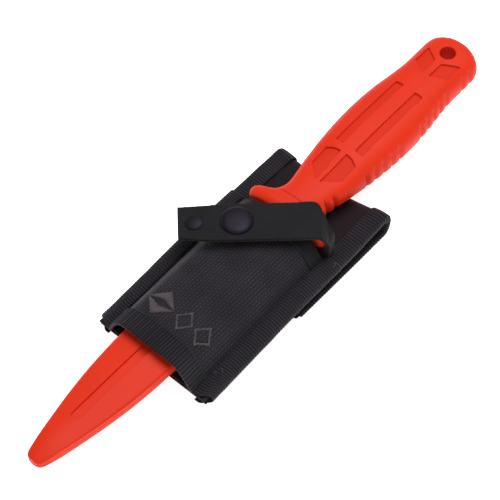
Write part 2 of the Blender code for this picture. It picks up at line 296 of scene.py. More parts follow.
@dataclass(frozen=True)
class NylonCloth:
    """Woven nylon with painted highlight on its raised yarns and painted shade, nearly black, in its gaps.

    The pattern follows the piece's UV map, which is in millimetres along and across the cloth.
    """

    name: str
    weave: Weave
    cell_mm: Point
    # Lit colour of raised yarns and shaded colour of the gaps: painted highlight and painted shade.
    lit_yarn: str = "#403c45"
    shaded_gap: str = "#060507"
    relief_mm: float = 0.2
    low_share: float = 0.55
    sheen: float = 0.05

    def height(self, tree: bpy.types.NodeTree, uv: bpy.types.NodeSocket) -> bpy.types.NodeSocket:
        """Yarn height from 0 in the gaps to 1.

        Args:
            tree: Node tree that gets the pattern.
            uv: Cloth coordinates in millimetres.

        Returns:
            The socket that carries the height.
        """
        cells = add_node(tree, "ShaderNodeMapping", None, {
            "Vector": uv, "Scale": (1 / self.cell_mm[0], 1 / self.cell_mm[1], 1.0)}).outputs["Vector"]
        # A wave texture repeats every 2 pi / 20 of its input at scale 1, so this makes one swell a cell.
        once = math.tau / 20
        along = add_node(tree, "ShaderNodeTexWave", {"bands_direction": "X"}, {
            "Vector": cells, "Scale": once})
        if self.weave is Weave.RIB:
            return along.outputs["Fac"]
        across = add_node(tree, "ShaderNodeTexWave", {"bands_direction": "Y"}, {
            "Vector": cells, "Scale": once})
        swell = add_node(tree, "ShaderNodeMath", {"operation": "MULTIPLY"}, {
            0: along.outputs["Fac"], 1: across.outputs["Fac"]})
        # In a basket weave every second cell passes under its neighbours, so it lies lower and, as height sets
        # the colour, takes painted shade.
        check = add_node(tree, "ShaderNodeTexChecker", None, {
            "Vector": cells, "Scale": 1.0, "Color1": WHITE,
            "Color2": (self.low_share, self.low_share, self.low_share, 1.0)})
        return add_node(tree, "ShaderNodeMath", {"operation": "MULTIPLY"}, {
            0: swell.outputs[0], 1: check.outputs["Color"]}).outputs[0]

    def material(self) -> bpy.types.Material:
        """Build the node material."""
        material, tree, shader = shader_of(self.name)
        uv = add_node(tree, "ShaderNodeUVMap", {"uv_map": "cloth"}).outputs["UV"]
        high = self.height(tree, uv)
        fibre = add_node(tree, "ShaderNodeTexNoise", None, {
            "Vector": uv, "Scale": 1.6, "Detail": 3.0, "Roughness": 0.7})
        wear = add_node(tree, "ShaderNodeTexNoise", None, {"Vector": uv, "Scale": 0.07, "Detail": 2.0})
        mixed = add_node(tree, "ShaderNodeMath", {"operation": "MULTIPLY_ADD"}, {
            0: fibre.outputs["Fac"], 1: 0.45, 2: high})
        worn = add_node(tree, "ShaderNodeMapRange", None, {
            "Value": wear.outputs["Fac"], "From Min": 0.3, "From Max": 0.7, "To Min": 0.62, "To Max": 1.0})
        level = add_node(tree, "ShaderNodeMath", {"operation": "MULTIPLY"}, {
            0: mixed.outputs[0], 1: worn.outputs["Result"]})
        # Colour follows the height of the yarns: painted highlight on raised ones and painted shade in the
        # gaps, with random fibre and wear tone.
        shade = add_node(tree, "ShaderNodeMix", {"data_type": "RGBA"}, {
            0: level.outputs[0], 6: linear(self.shaded_gap), 7: linear(self.lit_yarn)})
        bump = add_node(tree, "ShaderNodeBump", None, {
            "Strength": 1.0, "Distance": self.relief_mm * MM, "Height": mixed.outputs[0]})
        feed(tree, shader, {
            "Base Color": shade.outputs[2], "Normal": bump.outputs["Normal"], "Roughness": 0.75,
            "IOR": NYLON_IOR, "Specular IOR Level": 0.14, "Sheen Weight": self.sheen, "Sheen Roughness": 0.5})
        return material


@dataclass(frozen=True)
class Metal:
    """Pressed or ground metal with fine lines left by polishing."""

    name: str
    colour: str
    roughness: float
    line_mm: float = 0.25
    stretch: float = 1.0
    relief: float = 0.05

    def material(self) -> bpy.types.Material:
        """Build the node material."""
        material, tree, shader = shader_of(self.name)
        place = add_node(tree, "ShaderNodeTexCoord").outputs["Object"]
        pull = add_node(tree, "ShaderNodeMapping", None, {
            "Vector": place, "Scale": (self.stretch, 1.0, 1.0)}).outputs["Vector"]
        lines = add_node(tree, "ShaderNodeTexNoise", None, {
            "Vector": pull, "Scale": 1 / (self.line_mm * MM), "Detail": 2.0})
        rub = add_node(tree, "ShaderNodeTexNoise", None, {"Vector": place, "Scale": 220.0, "Detail": 2.0})
        gloss = add_node(tree, "ShaderNodeMapRange", None, {
            "Value": rub.outputs["Fac"], "To Min": self.roughness - 0.08, "To Max": self.roughness + 0.08})
        bump = add_node(tree, "ShaderNodeBump", None, {
            "Strength": 0.5, "Distance": self.relief * MM, "Height": lines.outputs["Fac"]})
        feed(tree, shader, {
            "Base Color": linear(self.colour), "Metallic": 1.0, "Roughness": gloss.outputs["Result"],
            "Normal": bump.outputs["Normal"]})
        return material


@dataclass(frozen=True)
class Thread:
    """Twisted polyester sewing thread with a soft gloss."""

    name: str
    colour: str

    def material(self) -> bpy.types.Material:
        """Build the node material."""
        material, tree, shader = shader_of(self.name)
        place = add_node(tree, "ShaderNodeTexCoord").outputs["Object"]
        twist = add_node(tree, "ShaderNodeTexNoise", None, {"Vector": place, "Scale": 2500.0, "Detail": 1.0})
        shade = add_node(tree, "ShaderNodeMix", {"data_type": "RGBA"}, {
            0: twist.outputs["Fac"], 6: linear("#0a090b"), 7: linear(self.colour)})
        feed(tree, shader, {"Base Color": shade.outputs[2], "Roughness": 0.55, "Specular IOR Level": 0.3})
        return material


@dataclass(frozen=True)
class Finishes:
    """Every material of the object."""

    orange: bpy.types.Material
    panel: bpy.types.Material
    ballistic: bpy.types.Material
    grosgrain: bpy.types.Material
    webbing: bpy.types.Material
    lining: bpy.types.Material
    foam: bpy.types.Material
    cap: bpy.types.Material
    bare: bpy.types.Material
    blade: bpy.types.Material
    seam: bpy.types.Material
    motif: bpy.types.Material
    core: bpy.types.Material

    @classmethod
    def make(cls) -> Finishes:
        """Build all the materials."""
        return cls(
            orange=MouldedPlastic("orange_moulded_nylon", "#e2300f", "#da2b0d").material(),
            panel=MouldedPlastic("orange_etched_panel", "#d82c0e", "#cf280c", 0.62, 0.9).material(),
            ballistic=NylonCloth("ballistic_nylon_basket_weave", Weave.BASKET, (1.02, 1.5)).material(),
            grosgrain=NylonCloth(
                "grosgrain_ribbed_tape", Weave.RIB, (RIB_MM, 1.0), "#2a272e", "#050406").material(),
            webbing=NylonCloth(
                "nylon_webbing", Weave.BASKET, (0.69, 1.04), "#2a292c", "#0c0b0d", 0.15, 0.7).material(),
            lining=NylonCloth(
                "smooth_lining_taffeta", Weave.PLAIN, (0.5, 0.5), "#20161c", "#170f14", 0.02, 0.9).material(),
            foam=NylonCloth(
                "closed_cell_foam_skin", Weave.PLAIN, (0.8, 0.8), "#1d1b1e", relief_mm=0.05).material(),
            cap=Metal("gunmetal_coated_stud_cap", "#29262d", 0.52).material(),
            bare=Metal("nickel_plated_brass", "#b8b2a6", 0.3).material(),
            blade=Metal("satin_ground_stainless_steel", "#8f9297", 0.34, 0.12, 1 / 30, 0.02).material(),
            seam=Thread("black_bonded_thread", "#1a181c").material(),
            motif=Thread("grey_embroidery_thread", "#75696d").material(),
            core=MouldedPlastic("black_moulded_nylon", "#1b1b1d", "#151517").material(),
        )


def finish_mesh(
    name: str, bm: bmesh.types.BMesh, material: bpy.types.Material, sharp: float | None = 35.0,
) -> bpy.types.Object:
    """Turn a bmesh into a smooth-shaded piece.

    Args:
        name: Piece's name.
        bm: Mesh in place, freed here.
        material: Its finish.
        sharp: Angle in degrees above which an edge stays sharp, or None for none.

    Returns:
        The new object.
    """
    mesh = bpy.data.meshes.new(name)
    bm.to_mesh(mesh)
    bm.free()
    mesh.materials.append(material)
    mesh.shade_smooth()
    if sharp is not None:
        mesh.set_sharp_from_angle(angle=math.radians(sharp))
    piece = bpy.data.objects.new(name, mesh)
    bpy.context.scene.collection.objects.link(piece)
    return piece


def mapped_grid(
    cells: tuple[int, int], place: Callable[[float, float], Vector], size_mm: Point = (1.0, 1.0),
) -> bmesh.types.BMesh:
    """Grid of quads laid on a surface, with cloth coordinates in millimetres.

    Args:
        cells: Cells along and across.
        place: Position for shares 0 to 1 along and across.
        size_mm: Real length and width, for the UV map.

    Returns:
        The bmesh.
    """
    bm = bmesh.new()
    layer = bm.loops.layers.uv.new("cloth")
    bmesh.ops.create_grid(bm, x_segments=cells[0], y_segments=cells[1], size=0.5)
    for face in bm.faces:
        for loop in face.loops:
            u, v = loop.vert.co.x + 0.5, loop.vert.co.y + 0.5
            loop[layer].uv = (u * size_mm[0], v * size_mm[1])
    for vert in bm.verts:
        vert.co = place(vert.co.x + 0.5, vert.co.y + 0.5)
    return bm


def close_ends(bm: bmesh.types.BMesh) -> None:
    """Merge a wrapped grid's seam, fill its open ends and turn its faces outwards."""
    bmesh.ops.remove_doubles(bm, verts=bm.verts, dist=1e-6)
    bmesh.ops.holes_fill(bm, edges=[e for e in bm.edges if e.is_boundary], sides=0)
    bmesh.ops.recalc_face_normals(bm, faces=bm.faces)


def thicken(piece: bpy.types.Object, thick_mm: float, offset: float = -1.0) -> bpy.types.Object:
    """Give a sheet its thickness with a Solidify modifier."""
    solid = piece.modifiers.new("thickness", "SOLIDIFY")
    solid.thickness = thick_mm * MM
    solid.offset = offset
    solid.use_even_offset = False
    return piece


def loft(rings: Sequence[Sequence[Vector]]) -> bmesh.types.BMesh:
    """Closed solid drawn out of a first ring through the others.

    Args:
        rings: Rings with the same number of points.

    Returns:
        The bmesh with outward faces.
    """
    bm = bmesh.new()
    face = bm.faces.new([bm.verts.new(point) for point in rings[0]])
    for index, ring in enumerate(rings[1:]):
        grown = bmesh.ops.extrude_face_region(bm, geom=[face])
        if index:
            bmesh.ops.delete(bm, geom=[face], context="FACES_ONLY")
        face = next(item for item in grown["geom"] if isinstance(item, bmesh.types.BMFace))
        for vert, point in zip(face.verts, ring):
            vert.co = point
    bmesh.ops.recalc_face_normals(bm, faces=bm.faces)
    return bm


def refinish(node: str, finish: bpy.types.Material) -> None:
    """Give a CAD node that stays its own finish."""
    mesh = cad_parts[node].data
    mesh.materials.clear()
    mesh.materials.append(finish)


def attach(piece: bpy.types.Object, body: str, node: str | None = None) -> None:
    """Make a piece ride on a body, and stand for a CAD node if one is named."""
    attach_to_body(piece, body)
    if node:
        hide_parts(node)


def cut(target: bpy.types.Object, bm: bmesh.types.BMesh, finish: bpy.types.Material | None = None) -> None:
    """Subtract a bmesh from a piece, and give the cut faces their own finish if there is one."""
    subtract(target, finish_mesh("cutter", bm, finish or target.data.materials[0]))


def subtract(target: bpy.types.Object, cutter: bpy.types.Object) -> None:
    """Subtract one object from another, and remove it."""
    modifier = target.modifiers.new("cut", "BOOLEAN")
    modifier.material_mode = "TRANSFER"
    modifier.operation = "DIFFERENCE"
    modifier.solver = "EXACT"
    modifier.object = cutter
    bpy.context.view_layer.objects.active = target
    bpy.ops.object.modifier_apply(modifier=modifier.name)
    bpy.data.objects.remove(cutter)


def lean(piece: bpy.types.Object) -> None:
    """Tip a piece of the knife or scabbard down towards the scabbard's point."""
    middle = at(LEAN_X, 0, AXIS_Z)
    turn = Matrix.Rotation(-math.asin(LEAN), 4, "Y")
    piece.data.transform(Matrix.Translation(middle) @ turn @ Matrix.Translation(-middle))


def soften(piece: bpy.types.Object, width_mm: float, segments: int = 3) -> None:
    """Round a piece's sharp edges with a Bevel modifier."""
    bevel = piece.modifiers.new("edges", "BEVEL")
    bevel.width = width_mm * MM
    bevel.segments = segments
    bevel.limit_method = "ANGLE"
    bevel.angle_limit = math.radians(28)
    bevel.harden_normals = True


def prism(outline: Sequence[Point], low: float, high: float) -> bmesh.types.BMesh:
    """Upright prism on an outline of (x, y) stations."""
    return loft([[at(x, y, z) for x, y in outline] for z in (low, high)])


def turned(
    centre: Vector, profile: Sequence[Point], axis: Vector = UP, steps: int = 48,
) -> bmesh.types.BMesh:
    """Turned piece from a profile of (radius, height) points.

    Args:
        centre: Middle of the piece in metres.
        profile: Points in millimetres, the first and last on the axis.
        axis: Direction of its height.
        steps: Segments round.

    Returns:
        The closed bmesh.
    """
    bm = bmesh.new()
    verts = [bm.verts.new((r * MM, 0, h * MM)) for r, h in profile]
    edges = [bm.edges.new(pair) for pair in zip(verts, verts[1:])]
    bmesh.ops.spin(bm, geom=verts + edges, cent=(0, 0, 0), axis=(0, 0, 1), angle=math.tau, steps=steps,
                   use_merge=True)
    bmesh.ops.remove_doubles(bm, verts=bm.verts, dist=1e-6)
    bmesh.ops.recalc_face_normals(bm, faces=bm.faces)
    turn = UP.rotation_difference(axis).to_matrix().to_4x4()
    bmesh.ops.transform(bm, matrix=Matrix.Translation(centre) @ turn, verts=bm.verts)
    return bm


def stitches(
    name: str, ends: Sequence[tuple[Vector, Vector]], material: bpy.types.Material, radius_mm: float = 0.22,
) -> bpy.types.Object:
    """Row of short plump stitches.

    Args:
        name: Piece's name.
        ends: Start and end of each stitch in metres.
        material: Thread's finish.
        radius_mm: Thread's radius.

    Returns:
        The new piece.
    """
    bm = bmesh.new()
    for start, end in ends:
        along = end - start
        turn = UP.rotation_difference(along).to_matrix().to_4x4()
        wide = 2 * radius_mm * MM
        size = Matrix.Diagonal((wide, wide, along.length * 1.08, 1.0))
        bmesh.ops.create_uvsphere(bm, u_segments=6, v_segments=6, radius=0.5,
                                  matrix=Matrix.Translation((start + end) / 2) @ turn @ size)
    return finish_mesh(name, bm, material, None)


@dataclass
class Scabbard:
    """Two welded shells with a roof ridge, and a groove down the front."""

    finishes: Finishes
    outline: tuple[Row, ...] = (
        (0.0, 1.2), (0.25, 2.6), (1.2, 3.9), (3.2, 4.7), (9.8, 6.3), (20.0, 8.4), (31.0, 10.5), (43.0, 12.3),
        (55.0, 13.5), (68.0, 14.1), (90.0, 14.2), (125.0, 14.2), (159.3, 14.2))
    half: float = 4.0
    groove: tuple[float, float, float, float] = (24.5, 157.0, 2.35, 1.0)
    slot: tuple[Row, ...] = (
        (20.5, 3.9), (23.5, 5.3), (31.0, 7.1), (43.0, 8.9), (55.0, 10.0), (68.0, 10.5), (161.0, 10.5))

    def shell(self, x: float, w: float, front: bool) -> list[Vector]:
        """Cross-section of one shell.

        Args:
            x: Station.
            w: Half width there.
            front: Whether it is the shell with the ridge.

        Returns:
            Its ring of points.
        """
        fall = 1.5 * max(0.0, 1 - x / 14) ** 2
        if front:
            half = [(w, 0.04), (w, 2.0 - fall * 0.5), (0.93 * w, 2.75 - fall * 0.8), (0.45 * w, 3.5 - fall),
                    (0.0, self.half - fall)]
        else:
            half = [(w, -0.12), (w, -2.9 + fall), (0.9 * w, -3.7 + fall), (0.45 * w, -3.95 + fall),
                    (0.0, -self.half + fall)]
        ring = half + [(-y, z) for y, z in reversed(half[:-1])]
        return [at(x, y, AXIS_Z + z) for y, z in ring]

    def build(self) -> None:
        """Build both shells, with the blade's slot between them."""
        rows = spline(self.outline, 110)
        opening = [(x, y) for x, y in self.slot] + [(x, -y) for x, y in reversed(self.slot)]
        for name, front in (("scabbard_front", True), ("scabbard_back", False)):
            rings = [self.shell(x, w, front) for x, w in rows]
            piece = finish_mesh(name, loft(rings), self.finishes.orange, 24)
            cut(piece, prism(opening, AXIS_Z - 1.8, AXIS_Z + 1.8))
            if front:
                x0, x1, w, deep = self.groove
                turns = [math.pi * k / 16 for k in range(17)]
                arc = [(x0 + w - w * math.sin(a), w * math.cos(a)) for a in turns]
                cut(piece, prism([(x1, w), *arc, (x1, -w)], AXIS_Z + self.half - deep - 0.35, 30.0))
            soften(piece, 0.45)
            lean(piece)
            attach(piece, "scabbard", f"{name}_shell")
        log.info("scabbard: two shells")


@dataclass
class Knife:
    """Moulded grip and guard on a hidden blade."""

    finishes: Finishes
    grip: tuple[Row, ...] = (
        (169.6, 14.0, 7.1), (171.5, 12.7, 7.1), (174.0, 11.8, 7.1), (177.0, 11.6, 7.1), (183.0, 12.5, 7.15),
        (190.0, 14.0, 7.3), (197.0, 15.0, 8.2), (203.0, 15.8, 9.2), (210.0, 16.5, 9.75), (220.0, 17.25, 10.0),
        (231.0, 17.45, 10.0), (243.0, 16.85, 9.9), (254.0, 15.5, 9.6), (264.0, 14.5, 9.3), (274.0, 14.5, 9.1),
        (281.5, 14.5, 9.0), (285.5, 13.6, 8.8), (288.0, 11.4, 8.3), (289.6, 8.8, 7.5), (290.6, 5.8, 6.2),
        (291.0, 2.2, 3.6))
    guard: tuple[Row, ...] = (
        (160.1, 19.6, 4.2), (160.5, 20.9, 5.2), (161.6, 22.0, 6.0), (163.2, 22.5, 6.6), (164.8, 22.3, 6.8),
        (166.1, 21.0, 6.9), (167.2, 18.3, 7.0), (168.3, 15.9, 7.05), (169.35, 14.2, 7.1))
    hole: Point = (279.7, 3.9)
    notches: tuple[float, ...] = (
        177, 182, 201, 206.5, 212, 217.5, 223, 239, 244.5, 250, 255.5, 261, 273.6, 279.2)
    panels: tuple[tuple[Point, ...], ...] = (
        ((205.8, 3.5), (250.5, 3.5), (250.5, 7.9), (205.8, 7.9)),
        ((183.2, 1.1), (202.3, 1.5), (201.8, 5.2), (200.0, 8.8), (190.0, 8.8)),
        ((262.3, 1.8), (272.3, 1.8), (277.4, 9.6), (267.2, 9.9)))
    panel_depth: float = 1.1
    blade: tuple[Row, ...] = (
        (22.0, 1.2), (22.5, 3.2), (24.5, 4.8), (31.0, 6.4), (43.0, 8.2), (55.0, 9.3), (68.0, 9.8),
        (159.0, 9.8))
    tang: Point = (254.5, 4.9)
    teeth: tuple[float, float, float, float] = (70.0, 135.0, 3.25, 1.1)

    @staticmethod
    def angles(count: int, power: float) -> list[float]:
        """Angles that space points evenly round a rounded section."""
        def spot(angle: float) -> Row:
            """Angle and the point it gives on a typical section."""
            side, rise = squared(math.cos(angle), 2 / power), squared(math.sin(angle), 2 / power)
            return (angle, 16 * side, 9.5 * rise)

        fine = [spot(math.tau * k / 2000) for k in range(2001)]
        reach = [0.0]
        for a, b in zip(fine, fine[1:]):
            reach.append(reach[-1] + math.dist(a[1:], b[1:]))
        made, k = [], 0
        for step in range(count + 1):
            while k < 1999 and reach[k + 1] < reach[-1] * step / count:
                k += 1
            made.append(fine[k][0])
        made[-1] = math.tau
        return made

    def notch(self, x: float, y: float, z: float, w: float) -> float:
        """How far the thumb notches let the grip's right side in at a point.

        Args:
            x: Station.
            y: Distance across.
            z: Height above the knife's axis.
            w: Half width of the grip there.

        Returns:
            Inward move across, in millimetres.
        """
        if y > -0.6 * w:
            return 0.0
        reach = smoothstep(0.72 * w, 0.92 * w, -y) * smoothstep(7.0, 2.0, z) * smoothstep(-7.5, -4.0, z)
        deep = 0.0
        for notch in self.notches:
            off = x - notch
            if -0.7 < off < 2.2:
                deep = max(deep, 1 + off / 0.7 if off < 0 else 1 - off / 2.2)
        return 2.0 * reach * deep

    def panel_cutter(self) -> bmesh.types.BMesh:
        """Solids that sink every panel to the same depth under the grip's two faces."""
        rounded = []
        for panel in self.panels:
            middle = tuple((a + b) / 2 for a, b in zip(panel[0], panel[-1]))
            rounded.append(fillet([middle, *panel, middle], 0.7, 4)[:-1])
        bm = bmesh.new()
        for outline in rounded:
            for side in (1, -1):
                for low, high in ((-14.0, -2.0), (2.0, 14.0)):
                    mesh = bpy.data.meshes.new("panel")
                    part = prism([(x, side * y) for x, y in outline], AXIS_Z + low, AXIS_Z + high)
                    part.to_mesh(mesh)
                    part.free()
                    bm.from_mesh(mesh)
                    bpy.data.meshes.remove(mesh)
        block = finish_mesh("panel_block", bm, self.finishes.orange)
        deep = self.panel_depth
        sunk = [(x, w, b - deep) for x, w, b in spline(self.grip, 90) if b > 2 * deep]
        core = self.tube("panel_floor", sunk, 96, False)
        subtract(block, core)
        made = bmesh.new()
        made.from_mesh(block.data)
        bpy.data.objects.remove(block)
        return made

    def tube(self, name: str, rows: Sequence[Row], around: int, carve: bool) -> bpy.types.Object:
        """Closed rounded body through a table of stations.

        Args:
            name: Piece's name.
            rows: Station, half width and half thickness.
            around: Points round the section.
            carve: Whether the notches are let in.

        Returns:
            The new piece.
        """
        power = 2.6
        turns = self.angles(around, power)
        count = len(rows) - 1

        def place(u: float, v: float) -> Vector:
            """Point on the body's skin."""
            x, w, b = pick(rows, u)
            angle = turns[min(round(v * around), around)]
            y = w * squared(math.cos(angle), 2 / power)
            z = b * squared(math.sin(angle), 2 / power)
            if carve:
                y += self.notch(x, y, z, w)
            return at(x, y, AXIS_Z + z)

        bm = mapped_grid((count, around), place)
        close_ends(bm)
        return finish_mesh(name, bm, self.finishes.orange, 50)

    def build(self) -> None:
        """Build grip, guard and blade."""
        grip = self.tube("handle_grip", spline(self.grip, 260), 150, True)
        cut(grip, self.panel_cutter(), self.finishes.panel)
        centre, radius = self.hole
        profile = ((0, -14), (radius + 3, -14), (radius + 0.9, -9.6), (radius, -8.6), (radius, 8.6),
                   (radius + 0.9, 9.6), (radius + 3, 14), (0, 14))
        cut(grip, turned(at(centre, 0, AXIS_Z), profile, steps=40))
        guard = self.tube("handle_guard", spline(self.guard, 40), 140, False)
        for piece, node, name in ((grip, "grip", "orange_grip"), (guard, "guard", "orange_plastic")):
            lean(piece)
            attach(piece, "knife", node)
        self.build_blade()
        refinish("handle_core", self.finishes.core)
        log.info("knife: grip, guard and blade")

    def build_blade(self) -> None:
        """Build the blunt-ended blade with a ground flat, a plain edge and a toothed one."""
        rings = []
        first, last, pitch, deep = self.teeth
        for x, w in resample(self.blade, 274):
            tooth = deep * abs(math.sin(math.pi * (x - first) / pitch)) if first < x < last else 0.0
            flat = max(w - 4.0, w * 0.35)
            rings.append([at(x, y, AXIS_Z + z) for y, z in (
                (w, 0.0), (flat, 1.5), (-flat, 1.5), (-w + tooth, 0.0), (-flat, -1.5), (flat, -1.5))])
        end, half = self.tang
        for x in (160.0, end):
            rings.append([at(x, y, AXIS_Z + z) for y, z in (
                (half, 0.0), (half, 1.5), (-half, 1.5), (-half, 0.0), (-half, -1.5), (half, -1.5))])
        blade = finish_mesh("blade_steel", loft(rings), self.finishes.blade, 12)
        lean(blade)
        attach(blade, "knife", "blade")


@dataclass
class Carrier:
    """Folded belt loop, lining, pouch and tapes, whose lower end hangs towards the table."""

    finishes: Finishes
    low: float = 71.5
    high: float = 197.5
    half: float = 32.7
    fold: float = 4.7
    join: float = 161.0
    loop_end: float = 135.0
    corner: float = 3.4
    droop: tuple[float, float, float] = (5.5, 66.0, 150.0)
    pouch: Point = (71.4, 157.4)
    dome: tuple[Point, ...] = (
        (24.6, 12.5), (22.7, 15.4), (20.6, 18.3), (18.2, 20.8), (15.4, 22.6), (10.5, 23.8), (5.0, 24.15),
        (0.0, 24.3))

    def __post_init__(self) -> None:
        """Draw the pouch's arch once, as rows of distance across and height."""
        arch = [*self.dome, *((-y, z) for y, z in reversed(self.dome[:-1]))]
        self.arch_rows = spline(arch, 240)
        self.arch_mm = length_of(self.arch_rows)

    def sag(self, x: float) -> float:
        """How far the front layers hang below level at a station."""
        depth, low, high = self.droop
        return depth * (1 - smoothstep(low, high, x))

    def arch(self, x: float, share: float, out: float = 0.0) -> Vector:
        """Point on the pouch's arch.

        Args:
            x: Station.
            share: 0 at the left foot to 1 at the right.
            out: Distance outside the cloth.

        Returns:
            The point in metres.
        """
        k = min(max(round(share * 240), 0), 240)
        before, after = self.arch_rows[max(k - 1, 0)], self.arch_rows[min(k + 1, 240)]
        normal = Vector((after[1] - before[1], before[0] - after[0])).normalized()
        if normal.y < 0:
            normal = -normal
        y, z = self.arch_rows[k]
        foot, top = self.dome[0][1], self.dome[-1][1]
        drop = min(max((top - z) / (top - foot), 0.0), 1.0) ** 1.8
        soft = math.sin(math.pi * share)
        wave = 0.3 * noise.noise(Vector((x * 0.05, y * 0.06, 3.0))) * soft - 0.2 * soft
        return at(x, y + normal.x * out, z + normal.y * out - self.sag(x) * drop + wave)

    @staticmethod
    def thinner(x: float) -> float:
        """How much lower the tape lies where the lining ends under it."""
        return 0.95 * smoothstep(176, 188, x)

    def puff(self, x: float, y: float, z: float) -> Vector:
        """Point of the belt loop, whose folded corners stand up and out a little."""
        near = smoothstep(168.0, 194.0, x)
        right, left = near * smoothstep(6.0, 32.0, -y), near * smoothstep(10.0, 32.0, y)
        share = min(max(z / (2 * self.fold), 0.0), 1.3)
        return at(x + 1.6 * right + 0.4 * left, y, z + (3.4 * right + 1.2 * left) * share)

    def panel_line(self, start: float, end: float) -> list[Row]:
        """Line of the folded strip in (x, z), from the front's lower end round the fold to the back.

        Args:
            start: Station of the front's end.
            end: Station of the back's end.

        Returns:
            Rows of station, height and outward direction.
        """
        centre, top = self.high - self.fold - 0.9, 2 * self.fold
        rows: list[Row] = []
        count = 40
        for k in range(count + 1):
            x = start + (centre - start) * k / count
            rows.append((x, top - self.sag(x), 0.0, 1.0))
        for k in range(1, 24):
            a = math.pi * k / 24
            rows.append((centre + self.fold * math.sin(a), self.fold + self.fold * math.cos(a),
                         math.sin(a), math.cos(a)))
        return rows + [(centre, 0.0, 0.0, -1.0), (end, 0.0, 0.0, -1.0)]

    def build(self) -> None:
        """Build every cloth piece of the carrier."""
        self.build_strip()
        self.build_lining()
        self.build_pad()
        for side in (1, -1):
            self.build_loop_tape(side)
            self.build_pouch_tape(side)
        self.build_pouch()
        self.build_motif()
        self.build_small_parts()
        log.info("carrier: strip, lining, tapes and pouch")

    def build_strip(self) -> None:
        """Build the folded backing strip that makes the belt loop."""
        spans = 420
        rows = resample(self.panel_line(72.3, 78.0), spans)
        long = length_of([row[:2] for row in rows])
        fold_at = 122.0

        def place(u: float, v: float) -> Vector:
            """Point on the strip's outer face, let in under the tapes behind."""
            x, z, nx, nz = pick(rows, u)
            behind = u * long > fold_at
            half = 31.4 - (8.7 * smoothstep(133.0, 129.5, x) if behind else 0.0)
            y = (2 * v - 1) * half
            press = 0.9 * smoothstep(23.0, 24.0, abs(y)) if behind else 0.0
            return self.puff(x - nx * press, y, z - nz * press)

        bm = mapped_grid((spans, 48), place, (long, 63.0))
        strip = thicken(finish_mesh("backing_strip_cloth", bm, self.finishes.webbing, 60), 0.7)
        attach(strip, "carrier", "backing_strip")

    def build_lining(self) -> None:
        """Build the smooth lining behind the handle."""
        spans = 240
        shape = [(72.5 + 6 * k, 11.3 - self.sag(72.5 + 6 * k)) for k in range(18)]
        top = [(184.0, 10.7), (189.5, 10.35), (191.9, 10.1), (194.0, 9.6), (195.6, 8.5)]
        rows = resample([*shape, *top], spans)
        long = length_of(rows)

        def place(u: float, v: float) -> Vector:
            """Point on the lining's upper face with slight waves."""
            x, z = pick(rows, u)
            half = 31.2 - 8.0 * smoothstep(186.5, 188.5, x)
            y = (2 * v - 1) * half
            wave = 0.14 * noise.noise(Vector((x * 0.09, y * 0.07, 0))) * smoothstep(158, 164, x)
            return self.puff(x, y, z + wave * smoothstep(23, 19, abs(y)) - 0.05)

        bm = mapped_grid((spans, 60), place, (long, 62.0))
        lining = thicken(finish_mesh("inner_lining", bm, self.finishes.lining, 60), 0.5)
        attach(lining, "carrier", "lining")

    def build_pad(self) -> None:
        """Build the crowned foam pad under the scabbard."""
        def pad(u: float, v: float) -> Vector:
            """Point on the crowned foam pad."""
            angle = math.tau * v
            ends = (1 - abs(2 * u - 1) ** 8) ** 0.25
            x = 76.2 + 78.6 * u
            y = 15.8 * ends * squared(math.cos(angle), 0.5)
            low, high = 11.65 - self.sag(x), 14.3 - LEAN * (LEAN_X - x)
            middle, thick = (low + high) / 2, (high - low) / 2
            return at(x, y, middle + thick * max(ends, 0.02) * squared(math.sin(angle), 0.6))

        bm = mapped_grid((60, 48), pad, (78.0, 66.0))
        close_ends(bm)
        foam = finish_mesh("pouch_foam_pad", bm, self.finishes.foam, 60)
        attach(foam, "carrier", "foam_pad")

    def tape(
        self, name: str, rows: Sequence[Row], section: Callable[[Row], list[Point]], side: int,
    ) -> bpy.types.Object:
        """Sweep a ribbed tape's section along an edge.

        Args:
            name: Piece's name.
            rows: Station, height and outward direction, evenly spaced.
            section: Chain of (distance across, height over the line) for a row.
            side: 1 for the left edge and -1 for the right.

        Returns:
            The new piece.
        """
        spans, wide = len(rows) - 1, 26
        long = length_of([row[:2] for row in rows])

        def place(u: float, v: float) -> Vector:
            """Point on the tape's outside, on or between its ribs."""
            row = pick(rows, u)
            chain = resample(section(row), wide)
            k = min(round(v * wide), wide)
            low, high = chain[max(k - 1, 0)], chain[min(k + 1, wide)]
            out = Vector((low[1] - high[1], high[0] - low[0])).normalized()
            rib = -0.13 * math.cos(math.tau * u * long / RIB_MM) * smoothstep(0.0, 0.06, min(v, 1 - v))
            y, lift = chain[k][0] + out.x * rib, chain[k][1] + out.y * rib
            x = row[0] + row[2] * lift
            # The lower corner is cut round.
            short = self.corner * smoothstep(27.5, self.half, y) * smoothstep(self.low + 22, self.low, x)
            return self.puff(x + short, side * y, row[1] + row[3] * lift)

        bm = mapped_grid((spans, wide), place, (long, 22.0))
        if side < 0:
            bmesh.ops.reverse_faces(bm, faces=bm.faces)
        return thicken(finish_mesh(name, bm, self.finishes.grosgrain, 70), 0.45, 1.0)

    def build_loop_tape(self, side: int) -> None:
        """Build the tape on the belt loop's edge: front, fold and back.

        Args:
            side: 1 for the left edge and -1 for the right.
        """
        word = "left" if side > 0 else "right"
        rows = resample(self.panel_line(self.join - 3.0, self.loop_end), 440)

        def section(row: Row) -> list[Point]:
            """Tape's chain from its upper inner edge round to its lower one."""
            nz = row[3]
            front = nz > 0.999
            lift = 2.5 - self.thinner(row[0]) if front else 1.55 * max(nz, 0.0) ** 0.8
            # Behind, the tape lies flush with the strip so that the loop rests flat.
            lift -= 0.38 * (1 - nz)
            low = -1.75 - 0.35 * (1 - nz) / 2
            top = 0.15 if not front else 0.0
            return fillet([
                (self.half - 9.2, lift - 0.1), (self.half - 4.0, lift), (self.half - 0.9, lift - 0.25 + top),
                (self.half - 0.4, (lift + low) / 2), (self.half - 0.9, low + 0.2),
                (self.half - 9.0, low)], 1.4, 4)

